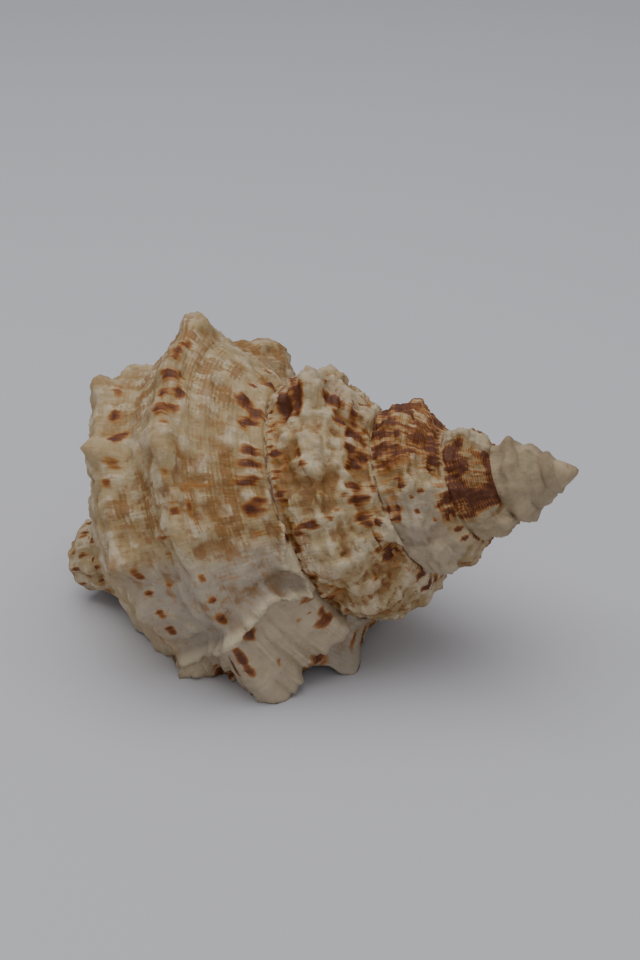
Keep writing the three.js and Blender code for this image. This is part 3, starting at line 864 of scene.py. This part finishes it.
here = make.node("ShaderNodeTexCoord", output=3)
turn_and_row = make.node("ShaderNodeUVMap", {"uv_map": "Place"})
turn_there, row_there = (
    make.node("ShaderNodeSeparateXYZ", {}, {0: turn_and_row}, output=i) for i in (0, 1))
(brown_field, ochre_field, net_field, pale_and_sheen_field, worn_field, glaze_field, inside_field,
 raised_field, crest_highlight_and_shade_field) = (
    make.node("ShaderNodeAttribute", {"attribute_name": name}, output=2)
    for name in ("brown", "ochre", "net", "pale", "worn", "glaze", "inside", "raised", "crest"))

blotch = noise(here, 32.0, 4.0, 0.55)
fleck = noise(here, 170.0, 4.0, 0.6)
grain = noise(here, 900.0, 3.0, 0.6)
wander = (blotch - 0.5) * 1.5
thread = waves(cords_per_row, 4.0) * 0.5 + 0.5
band = waves(bands_per_row, 0.8) * 0.5 + 0.5
growth = noise(on_surface(330.0, 1.2), 1.0, 2.0, 0.5)
growth_band = noise(on_surface(75.0, 0.35), 1.0, 3.0, 0.6)
patch = noise(on_surface(34.0, 1.1), 1.0, 4.0, 0.6)

# Ground: cream, yellower in the hollows, whiter on what stands out
tint = (blotch.between(0.4, 0.7) * 0.55 + growth_band.between(0.45, 0.75) * 0.25
        + (0.5 - raised_field) * 0.9)
colour = blend(tint.between(0.0, 1.0), cream, warm_tan)
chalked = fleck.between(0.5, 0.64) * 0.45 + raised_field * 0.75
colour = blend(chalked.between(0.4, 0.95), colour, chalk)
# On the third whorl this bluish white is partly a painted glossy highlight
colour = blend(pale_and_sheen_field * (1 - fleck.between(0.5, 0.75) * 0.5), colour, blue_white)

# Grey is blended in more and more towards the first whorls
towards_apex = 1 - turn_there.between(-4.3, -1.8)
colour = blend(towards_apex * (0.34 + fleck * 0.4), colour, grey_dirt_and_shade)

# Ochre plaid: stained threads and growth bands, with pale squares left between them
plaid = (band * 0.55 + thread * 0.35 + growth_band.between(0.42, 0.62) * 0.6 + (growth - 0.5) * 0.6
         + (fleck - 0.5) * 1.2 + (patch - 0.5) * 1.6)
plaid = plaid.between(0.55, 1.05) * ochre_field.between(0.05, 0.8)
colour = blend(plaid * 0.85, colour, ochre_stain)
white_square = ((1 - band) * (1 - growth_band.between(0.4, 0.6)) + (fleck - 0.5)).between(0.35, 0.8)
colour = blend(white_square * ochre_field * 0.8, colour, chalk)

# Hollows between the lumps hold the stain
hollow_stain = (0.44 - raised_field + (fleck - 0.5) * 0.6).between(0.0, 0.34)
hollow_stain = hollow_stain * (net_field * 0.85 + ochre_field * 0.4 + 0.16)
colour = blend(hollow_stain.least(0.62), colour, ochre_stain)

# Net: short crescents of rust along the cords
crescent = noise(on_surface(85.0, 2.6), 1.0, 2.0, 0.5)
crescent = crescent + (growth - 0.5) * 0.25 + (0.5 - raised_field) * 0.1
crescent = crescent.between(0.55, 0.66) * net_field
colour = blend(crescent * 0.75, colour, blend(pale_and_sheen_field, rust, amber))

# Brown dashes, combed by growth lines and, on the earlier whorls, by cords: amber, rust, brown
brown_cord = waves(brown_cords_per_row, 1.5) * towards_apex.between(0.0, 0.4)
marks = (brown_field + (fleck - 0.5) * 1.0 + (growth - 0.5) * 0.8 * (1 - towards_apex * 0.6)
         + (patch - 0.5) * 0.4 + brown_cord * 0.22 + (growth_band.between(0.38, 0.62) - 0.5) * 0.7)
rim = marks.between(0.15, 0.45) * brown_field.between(0.08, 0.3)
middle = marks.between(0.38, 0.72) * brown_field.between(0.18, 0.4)
core = marks.between(0.66, 1.05) * brown_field.between(0.3, 0.6)
colour = blend(rim * 0.85, colour, amber)
colour = blend(middle * 0.92, colour, rust)
colour = blend(core * 0.95, colour, dark_brown)

# Painted shade in the suture's groove; worn crests and first whorls are chalky, old lips glazed
lower_edge = row_there.between(5.86, 5.97) * (1 - turn_there.between(-1.01, -1.0))
groove = 1 - row_there.between(0.02, 0.14) + lower_edge
groove = groove * (fleck * 0.6 + growth_band * 0.5).between(0.5, 0.62)
colour = blend(groove.least(0.85), colour, dark_brown)
chalky = (worn_field + (fleck - 0.5) * 0.5).between(0.35, 0.65)
worn_chalk = blend(towards_apex * (0.34 + fleck.between(0.35, 0.7) * 0.36), chalk, grey_dirt_and_shade)
colour = blend(chalky * 0.92, colour, worn_chalk)
colour = blend(glaze_field * 0.6 * (1 - rim), colour, old_lip_cream)
# Pale crest and spout rim: partly their own chalky white, partly painted highlight on the lit edge
crest = crest_highlight_and_shade_field.between(0.15, 1.0) * (0.35 + fleck * 0.7) * (1 - core)
colour = blend(crest, colour, crest_white_and_highlight)
# Painted shade in the spout's hollow, where the crest field is below 0
colour = blend((0 - crest_highlight_and_shade_field).between(0.0, 1.0) * 0.55, colour, grey_dirt_and_shade)

# Specks of stain and soot, and the orange inside
stain = grain.between(0.58, 0.7) * fleck.between(0.45, 0.6) * 0.35
colour = blend(stain, colour, ochre_stain)
soot = noise(here, 420.0, 3.0, 0.65).between(0.6, 0.74) * (0.3 + 0.25 * chalky)
colour = blend(soot * (1 - core), colour, grey_dirt_and_shade)
colour = blend(inside_field, colour, mouth_orange)
tree.links.new(colour.socket, shader.inputs["Base Color"])

roughness = 0.6 - glaze_field * 0.22 - inside_field * 0.2 + worn_field * 0.1 + (grain - 0.5) * 0.3
tree.links.new(roughness.socket, shader.inputs["Roughness"])
surface = thread * blotch.between(0.42, 0.6) * 0.13 * (1 - glaze_field * 0.8)
surface = surface + growth * 0.5 + growth_band * 0.6 + grain * 0.3 + fleck * 0.8
bump = make.node("ShaderNodeBump", {}, {"Strength": 0.6, "Distance": 0.001,
                                        "Height": surface * (1 - inside_field * 0.8)})
tree.links.new(bump.socket, shader.inputs["Normal"])


# Relief: cords, growth folds, ribs, lumps and pits raised along the surface by Geometry Nodes
relief_inputs = {
    "Cord Height": 0.00008, "Band Height": 0.00022, "Growth Fold Height": 0.0016,
    "Axial Rib Height": 0.002, "Lump Height": 0.0028, "Nodule Height": 0.0058,
    "Pit Height": 0.0016, "First Whorl Height": 0.0046, "Cords per Row": float(cords_per_row),
    "Folds per Turn": 75.0,
}
group = bpy.data.node_groups.new("shell_relief", "GeometryNodeTree")
for name, side, kind in (
    ("Geometry", "INPUT", "Geometry"), *((name, "INPUT", "Float") for name in relief_inputs),
    ("Finish", "INPUT", "Material"), ("Geometry", "OUTPUT", "Geometry"),
):
    group.interface.new_socket(name, in_out=side, socket_type="NodeSocket" + kind)
entry = group.nodes.new("NodeGroupInput")
leave = group.nodes.new("NodeGroupOutput")
add = Number(group, None)


def given(name):
    return Number(group, entry.outputs[name])


def roughly(vector, scale, detail):
    """Noise from about -1 to 1."""
    return (add.node("ShaderNodeTexNoise", {}, {
        "Vector": vector, "Scale": scale, "Detail": detail}) - 0.5) * 2.0


def along(per_turn, per_row):
    return add.node("ShaderNodeCombineXYZ", {}, {0: turn_here * per_turn, 1: row_here * per_row})


turn_here, row_here, weight_here, glaze_here = (
    add.node("GeometryNodeInputNamedAttribute", {"data_type": "FLOAT"}, {"Name": name})
    for name in ("turn", "row", "weight", "glaze"))
position = add.node("GeometryNodeInputPosition")
whorl_size = add.sum("POWER", growth_per_turn, turn_here)
upper = 1 - turn_here.between(-1.02, -0.98)
rough = 1 - glaze_here * 0.45
cord = (row_here * given("Cords per Row") * (2 * math.pi)).cosine()
cord_band = (row_here * (2 * math.pi * bands_per_row)).cosine()
folds = roughly(along(given("Folds per Turn"), 0.35), 1.0, 2.0)
ribs = roughly(along(52.0, 0.8), 1.0, 2.0) * row_here.between(1.0, 2.5)
height = cord * given("Cord Height") * turn_here.between(-2.0, -1.9) * rough
height += cord_band * given("Band Height") * rough
near_suture = 1 - row_here.between(0.5, 2.5) * 0.6
height += folds * given("Growth Fold Height") * near_suture * rough
height += ribs * given("Axial Rib Height") * upper
height += roughly(position, 95.0, 2.0) * given("Lump Height") * (0.5 + upper * 0.5)
height += roughly(position, 175.0, 2.0) * given("Nodule Height") * (0.4 + upper * 0.6) * rough
height += roughly(position, 420.0, 2.0) * given("Pit Height") * (0.6 + upper * 0.4)
first_whorls = 1 - turn_here.between(-4.2, -3.9)
worn_lumps = roughly(position, 170.0, 1.5) * given("First Whorl Height")
height = height * (1 - first_whorls) + worn_lumps * first_whorls
height = height * weight_here * (whorl_size * 0.75 + 0.25)
raised = add.node("GeometryNodeStoreNamedAttribute", {"data_type": "FLOAT", "domain": "POINT"}, {
    "Geometry": given("Geometry"), "Name": "raised", "Value": height * 420.0 + 0.5})
normal = add.node("GeometryNodeInputNormal")
offset = add.node("ShaderNodeVectorMath", {"operation": "SCALE"}, {0: normal, "Scale": height})
raised = add.node("GeometryNodeSetPosition", {}, {"Geometry": raised, "Offset": offset})
real = add.node("GeometryNodeRealizeInstances", {}, {"Geometry": raised})
finished = add.node("GeometryNodeSetMaterial", {}, {"Geometry": real, "Material": given("Finish")})
group.links.new(finished.socket, leave.inputs["Geometry"])

grown = bpy.data.objects.new("grown_shell", mesh)
scene.collection.objects.link(grown)
modifier = grown.modifiers.new("relief", "NODES")
modifier.node_group = group
settings = {**relief_inputs, "Finish": material}
for item in group.interface.items_tree:
    if item.in_out == "INPUT" and item.name in settings:
        modifier[item.identifier] = settings[item.name]
evaluated = grown.evaluated_get(bpy.context.evaluated_depsgraph_get())
shell_mesh = bpy.data.meshes.new_from_object(evaluated)
grown.modifiers.remove(modifier)
bpy.data.objects.remove(grown)

# The relief stays inside the solid's box and above the floor
places = np.zeros(len(shell_mesh.vertices) * 3, np.float32)
shell_mesh.vertices.foreach_get("co", places)
low, high = (np.array(corner, np.float32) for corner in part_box("shell"))
places = np.clip(places.reshape(-1, 3), low, high)
shell_mesh.vertices.foreach_set("co", places.ravel())
shell_mesh.update()

shell = bpy.data.objects.new("sea_shell", shell_mesh)
scene.collection.objects.link(shell)
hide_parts("shell")
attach(shell, "root")


# Studio
# A wide pale sheet lies under the shell, lit softly from above and weakly from the front.
half = 2.0
sheet_mesh = bpy.data.meshes.new("studio_floor")
sheet_mesh.from_pydata([(-half, -half, 0), (half, -half, 0), (half, half, 0), (-half, half, 0)],
                       [], [(0, 1, 2, 3)])
floor_material = bpy.data.materials.new("pale_floor")
floor_material.use_nodes = True
floor_shader = floor_material.node_tree.nodes["Principled BSDF"]
floor_shader.inputs["Base Color"].default_value = (0.64, 0.645, 0.69, 1)
floor_shader.inputs["Roughness"].default_value = 0.6
sheet_mesh.materials.append(floor_material)
floor = bpy.data.objects.new("studio_floor", sheet_mesh)
scene.collection.objects.link(floor)

world = bpy.data.worlds.new("studio_air")
world.use_nodes = True
world.node_tree.nodes["Background"].inputs[0].default_value = (0.9, 0.91, 0.96, 1)
world.node_tree.nodes["Background"].inputs[1].default_value = 0.34
scene.world = world


def soft_light(name, place, aim, width, power, tone):
    data = bpy.data.lights.new(name, "AREA")
    data.shape = "SQUARE"
    data.size = width
    data.energy = power
    data.color = tone
    light = bpy.data.objects.new(name, data)
    light.location = place
    light.rotation_euler = (Vector(aim) - Vector(place)).to_track_quat("-Z", "Y").to_euler()
    scene.collection.objects.link(light)


soft_light("window_above", (-0.14, 0.04, 1.0), (0, 0, 0.03), 1.25, 7.5, (1.0, 0.99, 0.97))
soft_light("fill_front", (0.6, -1.1, 0.6), (0, 0, 0.05), 0.9, 1.5, (1.0, 0.97, 0.93))
